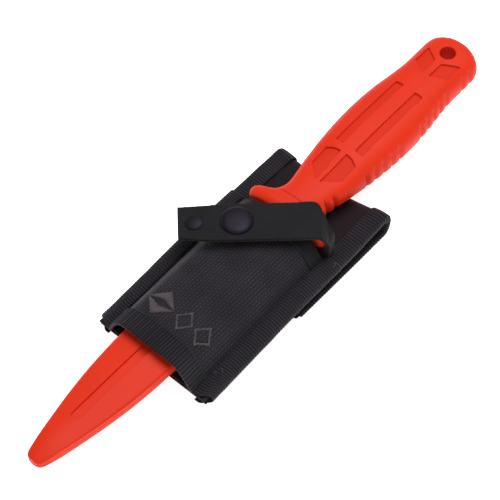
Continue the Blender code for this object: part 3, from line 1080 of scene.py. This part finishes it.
        tape = self.tape(f"{word}_loop_tape", rows, section, side)
        attach(tape, "carrier", f"{word}_binding")
        self.seam(f"{word}_loop_stitches", [
            at(x, side * (self.half - 8.2), 12.06 - self.thinner(x)) for x in steps_of(162, 190, 1.35)])

    def build_pouch_tape(self, side: int) -> None:
        """Build the tape that binds the pouch's side seam.

        Args:
            side: 1 for the left edge and -1 for the right.
        """
        word = "left" if side > 0 else "right"
        rows = []
        for k in range(401):
            x = self.low + (self.join - self.low) * k / 400
            rows.append((x, 9.4 - self.sag(x), 0.0, 1.0))

        def section(row: Row) -> list[Point]:
            """Tape's chain, rolled over the edge and a little uneven."""
            wob = 0.15 * noise.noise(Vector((row[0] * 0.12, side * 7.0, 0.0)))
            foot = 25.4 + wob - (0.5 if side < 0 else 0.0)
            return fillet([(foot, 3.5), (foot + 1.6, 4.0), (30.3, 3.9), (self.half + wob, 2.3),
                           (self.half + wob, 0.0), (self.half - 1.4, -1.5), (foot + 0.5, -1.6)], 1.6, 4)

        tape = self.tape(f"{word}_pouch_tape", rows, section, side)
        attach(tape, "carrier", f"{word}_pouch_binding")
        for number, (inset, height) in enumerate(((27.4, 13.45), (24.4, 12.85))):
            self.seam(f"{word}_side_stitches_{number + 1}", [
                at(x, side * inset, height - self.sag(x)) for x in steps_of(76, 158, 1.5)])

    def seam(self, name: str, points: Sequence[Vector]) -> None:
        """Sew a row of stitches through evenly spaced points."""
        ends = [(a, a.lerp(b, 0.72)) for a, b in zip(points, points[1:])]
        thread = stitches(name, ends, self.finishes.seam, 0.24)
        attach(thread, "carrier")

    def build_pouch(self) -> None:
        """Build the ballistic cloth front, its mouth webbing and its hem."""
        x0, x1 = self.pouch

        def place(u: float, v: float) -> Vector:
            """Point on the pouch cloth, with a flange under the tape at each side."""
            x = x0 + (x1 - x0) * u
            reach = 0.1
            if v < reach or v > 1 - reach:
                over = (reach - min(v, 1 - v)) / reach
                y = math.copysign(24.7 + 6.4 * over, 0.5 - v)
                return at(x, y, 12.45 - self.sag(x))
            return self.arch(x, (v - reach) / (1 - 2 * reach), -0.05)

        wide = self.arch_mm + 13.0
        bm = mapped_grid((110, 120), place, (x1 - x0, wide))
        bmesh.ops.reverse_faces(bm, faces=bm.faces)
        front = thicken(finish_mesh("pouch_cloth", bm, self.finishes.ballistic, 60), 0.8)
        attach(front, "carrier", "pouch_front")
        self.edge_tape(
            "mouth_webbing", "mouth_binding", (150.0, 158.2), self.finishes.webbing, 0.0, 0.0)
        self.edge_tape(
            "hem_tape", "bottom_hem", (80.2, 70.9), self.finishes.grosgrain, RIB_MM, 1.9)

    def edge_tape(
        self, name: str, node: str, ends: Point, material: bpy.types.Material, rib_mm: float,
        bow_mm: float,
    ) -> None:
        """Build a tape that binds the pouch's upper or lower edge.

        Args:
            name: Piece's name.
            node: CAD node it stands for.
            ends: Stations of its sewn edge and of the pouch's edge.
            material: Its finish.
            rib_mm: Rib spacing across the pouch, or 0 for none.
            bow_mm: How far the edge bows out over the scabbard.
        """
        near, far = ends
        turn = 1 if far > near else -1
        spans, wide = 260, 24
        profile = [(near, 0.2), (near + turn * 0.6, 0.55), (far, 0.65), (far, -0.95)]
        chain = resample(fillet(profile, 0.5, 4), wide)

        def place(u: float, v: float) -> Vector:
            """Point on the tape's outside."""
            x, off = pick(chain, v)
            if rib_mm:
                rib = -math.cos(math.tau * u * self.arch_mm / rib_mm)
                off += 0.13 * rib * smoothstep(0, 0.1, v) * smoothstep(1, 0.85, v)
            x += turn * bow_mm * math.sin(math.pi * u) ** 0.8 * abs(x - near) / abs(far - near)
            return self.arch(x, u, off)

        bm = mapped_grid((spans, wide), place, (self.arch_mm, abs(far - near) + 1.5))
        if turn < 0:
            bmesh.ops.reverse_faces(bm, faces=bm.faces)
        tape = thicken(finish_mesh(name, bm, material, 60), 0.5)
        attach(tape, "carrier", node)
        for number, inset in enumerate((1.0, 7.0) if rib_mm == 0 else (1.0,)):
            self.seam(f"{name}_stitches_{number + 1}", [
                self.arch(near + turn * inset, share, 0.62)
                for share in steps_of(0.02, 0.98, 1.3 / self.arch_mm)])

    def build_motif(self) -> None:
        """Embroider a plain filled lozenge and two lozenge outlines beside the hem."""
        rows = []

        def on_cloth(x: float, across: float) -> Vector:
            """Point just above the pouch cloth at a distance across it."""
            return self.arch(x, 0.5 - across / self.arch_mm, 0.12)

        tall, wide, middle_x, middle_y = 7.4, 7.6, 88.9, 9.0
        for k in range(36):
            t = (k + 0.5) / 18 - 1
            reach = tall * (1 - abs(t))
            for low, high in ((-reach, -0.24 * reach), (0.24 * reach, reach)):
                across = middle_y + wide * t
                rows.append((on_cloth(middle_x + low, across), on_cloth(middle_x + high, across)))
        for middle in (-5.0, -15.6):
            for corner in range(4):
                a, b = math.tau * corner / 4, math.tau * (corner + 1) / 4
                for k in range(11):
                    t = k / 11
                    x = math.cos(a) * (1 - t) + math.cos(b) * t
                    y = math.sin(a) * (1 - t) + math.sin(b) * t
                    rows.append(tuple(
                        on_cloth(88.4 + long * x, middle + broad * y)
                        for long, broad in ((4.3, 3.5), (6.0, 4.9))))
        motif = stitches("pouch_motif", rows, self.finishes.motif, 0.26)
        attach(motif, "carrier")

    def build_small_parts(self) -> None:
        """Dress the hidden board, turn the press stud and build the thread ends in the seams."""
        refinish("stiffener_board", self.finishes.core)
        low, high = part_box("snap_stud")
        spot = Vector(((low.x + high.x) / 2, (low.y + high.y) / 2, low.z))
        stud = finish_mesh("press_stud", turned(spot, (
            (0, 0.05), (4.2, 0.05), (4.6, 0.2), (4.5, 0.4), (3.2, 0.55), (2.3, 0.8), (1.85, 1.3), (1.9, 1.9),
            (2.05, 2.25), (1.9, 2.5), (1.2, 2.6), (0, 2.6))), self.finishes.bare, 40)
        attach(stud, "carrier", "snap_stud")
        low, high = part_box("stud_eyelet")
        ring = finish_mesh("stud_eyelet_ring", turned(Vector((spot.x, spot.y, low.z)), (
            (0, 0.0), (2.7, 0.0), (2.9, 0.12), (2.9, 0.3), (2.6, 0.4), (0, 0.4))), self.finishes.bare, 40)
        attach(ring, "carrier", "stud_eyelet")
        ends = []
        for x, y, z, dx, dy in ((86.5, -26.4, 9.4, 0.9, -1.5), (84.6, -25.6, 9.2, -0.8, -0.6),
                                (158.6, -29.6, 13.4, 2.2, -1.0)):
            last = at(x, y, z)
            for k in range(1, 5):
                after = at(x + dx * math.sin(k * 0.9), y + dy * k / 2.5, z + 0.5 * math.sin(k * 0.8))
                ends.append((last, after))
                last = after
        loose = stitches("loose_thread_ends", ends, self.finishes.motif, 0.14)
        attach(loose, "carrier")


@dataclass
class Strap:
    """Retention strap with its press-stud cap and rivet."""

    finishes: Finishes
    middle: Point = (154.4, -4.8)
    away: Point = (-0.69, 0.724)
    across: Point = (0.724, 0.69)
    shoulder: float = 14.5
    thick: float = 1.4
    root_near: tuple[Row, ...] = (
        (160.8, -24.1, 12.7), (160.6, -24.6, 17.5), (160.2, -25.0, 21.5), (159.4, -24.8, 24.3),
        (158.3, -23.8, 26.4))
    root_far: tuple[Row, ...] = (
        (165.6, -23.9, 12.7), (165.6, -23.7, 18.5), (166.0, -22.9, 24.4), (167.5, -18.0, 26.4),
        (169.7, -14.0, 27.1))
    run: tuple[Row, ...] = (
        (0.0, 27.3, -10, 10), (10, 27.5, -10, 10), (20, 27.75, -10, 10), (30, 27.95, -10, 10),
        (42, 27.95, -9.8, 10), (49, 27.3, -9.0, 10), (58, 26.3, -7.3, 10.4), (61.7, 25.8, -6.4, 10.6))

    def spot(self, run: float, offset: float, z: float) -> Row:
        """Stations of a point by its distance from the shoulder and across the strap."""
        gone = run - self.shoulder
        return (self.middle[0] + self.away[0] * gone + self.across[0] * offset,
                self.middle[1] + self.away[1] * gone + self.across[1] * offset, z)

    def edges(self) -> tuple[list[Row], list[Row]]:
        """Underside of the strap's near and far edges, from its root to its pull end."""
        near = [*self.root_near, *(self.spot(run, a, z) for run, z, a, _ in self.run)]
        far = [*self.root_far, *(self.spot(run, b, z) for run, z, _, b in self.run)]
        return near, far

    def build(self) -> None:
        """Build the webbing in two lengths that meet on the riser, then its metal."""
        near, far = self.edges()
        rows = spline([(*a, *b) for a, b in zip(near, far)], 220)
        meet = 18
        root = self.length("strap_root_webbing", rows[:meet + 1], ("carrier", "strap_riser"),
                           at(164.2, -24.1, 12.9), at(164.2, -24.1, 16.5))
        top = self.length("strap_webbing", rows[meet:], ("strap_riser", "strap_top"),
                          at(*self.spot(-0.6, 0, 27.5)), at(*self.spot(6.0, 0, 27.5)))
        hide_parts("strap_riser")
        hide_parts("strap_top")
        self.build_metal()
        log.info("strap: webbing, press stud and rivet")

    def length(
        self, name: str, rows: Sequence[Row], bodies: tuple[str, str], start: Vector, end: Vector,
    ) -> bpy.types.Object:
        """Build one length of webbing.

        Args:
            name: Piece's name.
            rows: Near and far edge stations.
            bodies: CAD bodies at its two ends; not used.
            start: Not used.
            end: Not used.

        Returns:
            The new piece.
        """
        count = len(rows) - 1
        long = sum(math.dist(a[:3], b[:3]) + math.dist(a[3:], b[3:]) for a, b in zip(rows, rows[1:])) / 2

        def place(u: float, v: float) -> Vector:
            """Point on the strap's upper face, with slightly wavy edges."""
            k = min(round(u * count), count)
            row, low, high = rows[k], rows[max(k - 1, 0)], rows[min(k + 1, count)]
            a, b = at(*row[:3]), at(*row[3:])
            along = at(*high[:3]) + at(*high[3:]) - at(*low[:3]) - at(*low[3:])
            up = (b - a).cross(along).normalized()
            trim = 0.06 * math.sin(u * long * 2.1) / 20
            crown = 0.12 * (1 - (2 * v - 1) ** 4)
            return a.lerp(b, trim + v * (1 - 2 * trim)) + up * (self.thick - 0.1 + crown) * MM

        bm = mapped_grid((count, 24), place, (long, 20.0))
        bmesh.ops.reverse_faces(bm, faces=bm.faces)
        piece = thicken(finish_mesh(name, bm, self.finishes.webbing, 60), self.thick)
        bpy.context.view_layer.objects.active = piece
        bpy.ops.object.modifier_apply(modifier="thickness")
        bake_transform(piece)
        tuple(start)
        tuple(end)
        return piece

    def build_metal(self) -> None:
        """Build the stud cap, its socket and the rivet's two heads."""
        button = at(*self.spot(35.5, 0.4, 27.9))
        self.turn("stud_cap", "snap_cap", turned(button, (
            (0, 0.2), (1.35, 0.2), (1.35, 1.5), (7.0, 1.45), (7.45, 1.7), (7.5, 2.0), (7.4, 2.25),
            (7.1, 2.42), (6.9, 2.36), (6.7, 2.28), (6.5, 2.4), (5.6, 2.75), (4.2, 3.0), (2.4, 3.15), (0, 3.2))),
            self.finishes.cap)
        self.turn("stud_socket", "snap_socket", turned(button, (
            (2.75, -0.5), (2.9, -0.88), (3.6, -0.9), (5.0, -0.75), (5.35, -0.45), (5.3, -0.28), (2.9, -0.25),
            (2.75, -0.5))), self.finishes.bare)
        slope = math.atan2(1.3, 11)
        axis = Vector((self.away[0] * math.sin(slope), self.away[1] * math.sin(slope), math.cos(slope)))
        rivet = at(*self.spot(54.5, 1.2, 26.6))
        self.turn("rivet_head", "rivet_cap", turned(rivet, (
            (0, 0.1), (1.1, 0.1), (1.1, 1.45), (3.9, 1.45), (4.2, 1.65), (4.15, 1.9), (3.6, 2.25), (2.2, 2.6),
            (0, 2.75)), axis, 40), self.finishes.cap)
        self.turn("rivet_back_head", "rivet_back", turned(rivet, (
            (0, -0.85), (3.2, -0.8), (4.1, -0.6), (4.15, -0.4), (0, -0.35)), axis, 40), self.finishes.bare)

    @staticmethod
    def turn(name: str, node: str, bm: bmesh.types.BMesh, finish: bpy.types.Material) -> None:
        """Finish a turned metal part, which rides on the strap and stands for its CAD node."""
        attach(finish_mesh(name, bm, finish, 40), "strap_top", node)


@dataclass
class Studio:
    """White table, soft light and camera."""

    azimuth: float = -48.7
    elevation: float = 55.0
    distance: float = 0.8
    target: tuple[float, float, float] = (144.2, 6.4, 6.6)
    lens: float = 126.6

    def build(self) -> None:
        """Set up the table, lights and camera."""
        scene = bpy.context.scene
        scene.view_settings.view_transform = "Standard"
        self.table()
        self.lights(scene)
        self.camera(scene)
        log.info("studio: table, lights and camera")

    def table(self) -> None:
        """Build the pale table."""
        bm = bmesh.new()
        bmesh.ops.create_grid(bm, x_segments=1, y_segments=1, size=3.0)
        bmesh.ops.translate(bm, vec=(0, 0, CAD_LOW.z), verts=bm.verts)
        material, tree, shader = shader_of("matte_white_card")
        place = add_node(tree, "ShaderNodeTexCoord").outputs["Object"]
        tone = add_node(tree, "ShaderNodeTexNoise", None, {"Vector": place, "Scale": 3.0})
        shade = add_node(tree, "ShaderNodeMix", {"data_type": "RGBA"}, {
            0: tone.outputs["Fac"], 6: linear("#f6f6f6"), 7: linear("#f9f9f9")})
        feed(tree, shader, {
            "Base Color": shade.outputs[2], "Roughness": 0.9, "Specular IOR Level": 0.1,
            "Emission Color": WHITE, "Emission Strength": 0.8})
        floor = finish_mesh("table", bm, material)

    def lights(self, scene: bpy.types.Scene) -> None:
        """Add a pale surround, a large key over the knife's left and a weak fill."""
        world = bpy.data.worlds.new("studio_surround")
        world.use_nodes = True
        feed(world.node_tree, world.node_tree.nodes["Background"], {"Color": WHITE, "Strength": 0.38})
        scene.world = world
        for name, place, size, power in (
            ("key", (0.3, 0.05, 1.15), 0.8, 11.0),
            ("fill", (-0.9, -0.6, 0.7), 1.0, 2.0),
        ):
            lamp = bpy.data.lights.new(name, "AREA")
            lamp.size = size
            lamp.energy = power
            holder = bpy.data.objects.new(name, lamp)
            holder.location = place
            holder.rotation_euler = (-Vector(place)).to_track_quat("-Z", "Y").to_euler()
            scene.collection.objects.link(holder)

    def camera(self, scene: bpy.types.Scene) -> None:
        """Place the camera."""
        a, e = math.radians(self.azimuth), math.radians(self.elevation)
        back = Vector((math.sin(a) * math.cos(e), -math.cos(a) * math.cos(e), math.sin(e)))
        lens = bpy.data.cameras.new("camera")
        lens.lens = self.lens
        lens.sensor_width = 36.0
        holder = bpy.data.objects.new("camera", lens)
        holder.location = at(*self.target) + back * self.distance
        holder.rotation_euler = back.to_track_quat("Z", "Y").to_euler()
        scene.collection.objects.link(holder)
        scene.camera = holder


def main() -> None:
    """Build the object and its studio."""
    logging.basicConfig(level=logging.INFO)
    finishes = Finishes.make()
    Scabbard(finishes).build()
    Knife(finishes).build()
    Carrier(finishes).build()
    Strap(finishes).build()
    Studio().build()


if __name__ == "__main__":
    main()
